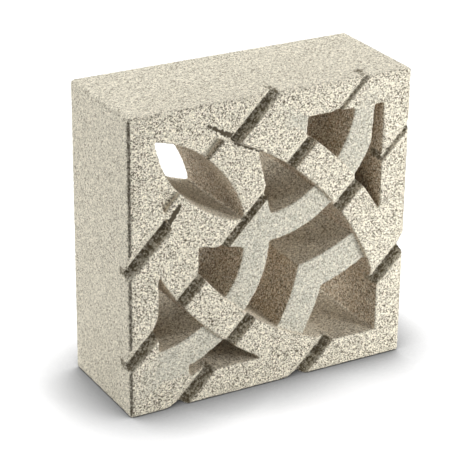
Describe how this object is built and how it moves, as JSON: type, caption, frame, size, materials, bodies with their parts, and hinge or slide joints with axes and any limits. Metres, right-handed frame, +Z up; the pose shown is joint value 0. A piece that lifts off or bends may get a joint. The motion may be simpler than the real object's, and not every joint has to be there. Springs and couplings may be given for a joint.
{
  "type": "pierced concrete screen block",
  "caption": "Square concrete screen block that stands on edge, with interlaced curved straps, stepped notches across its face and openings right through it.",
  "frame": {"origin": "middle of the underside, on the floor", "axes": "+Z up, +X to the right along the patterned face, -Y out of the patterned face, +Y into the block"},
  "size_m": [0.25, 0.1, 0.25],
  "materials": {
    "concrete": "cast concrete, matt, fine sandy grain"
  },
  "bodies": {
    "root": {"screen_block": "concrete"}
  },
  "joints": []
}
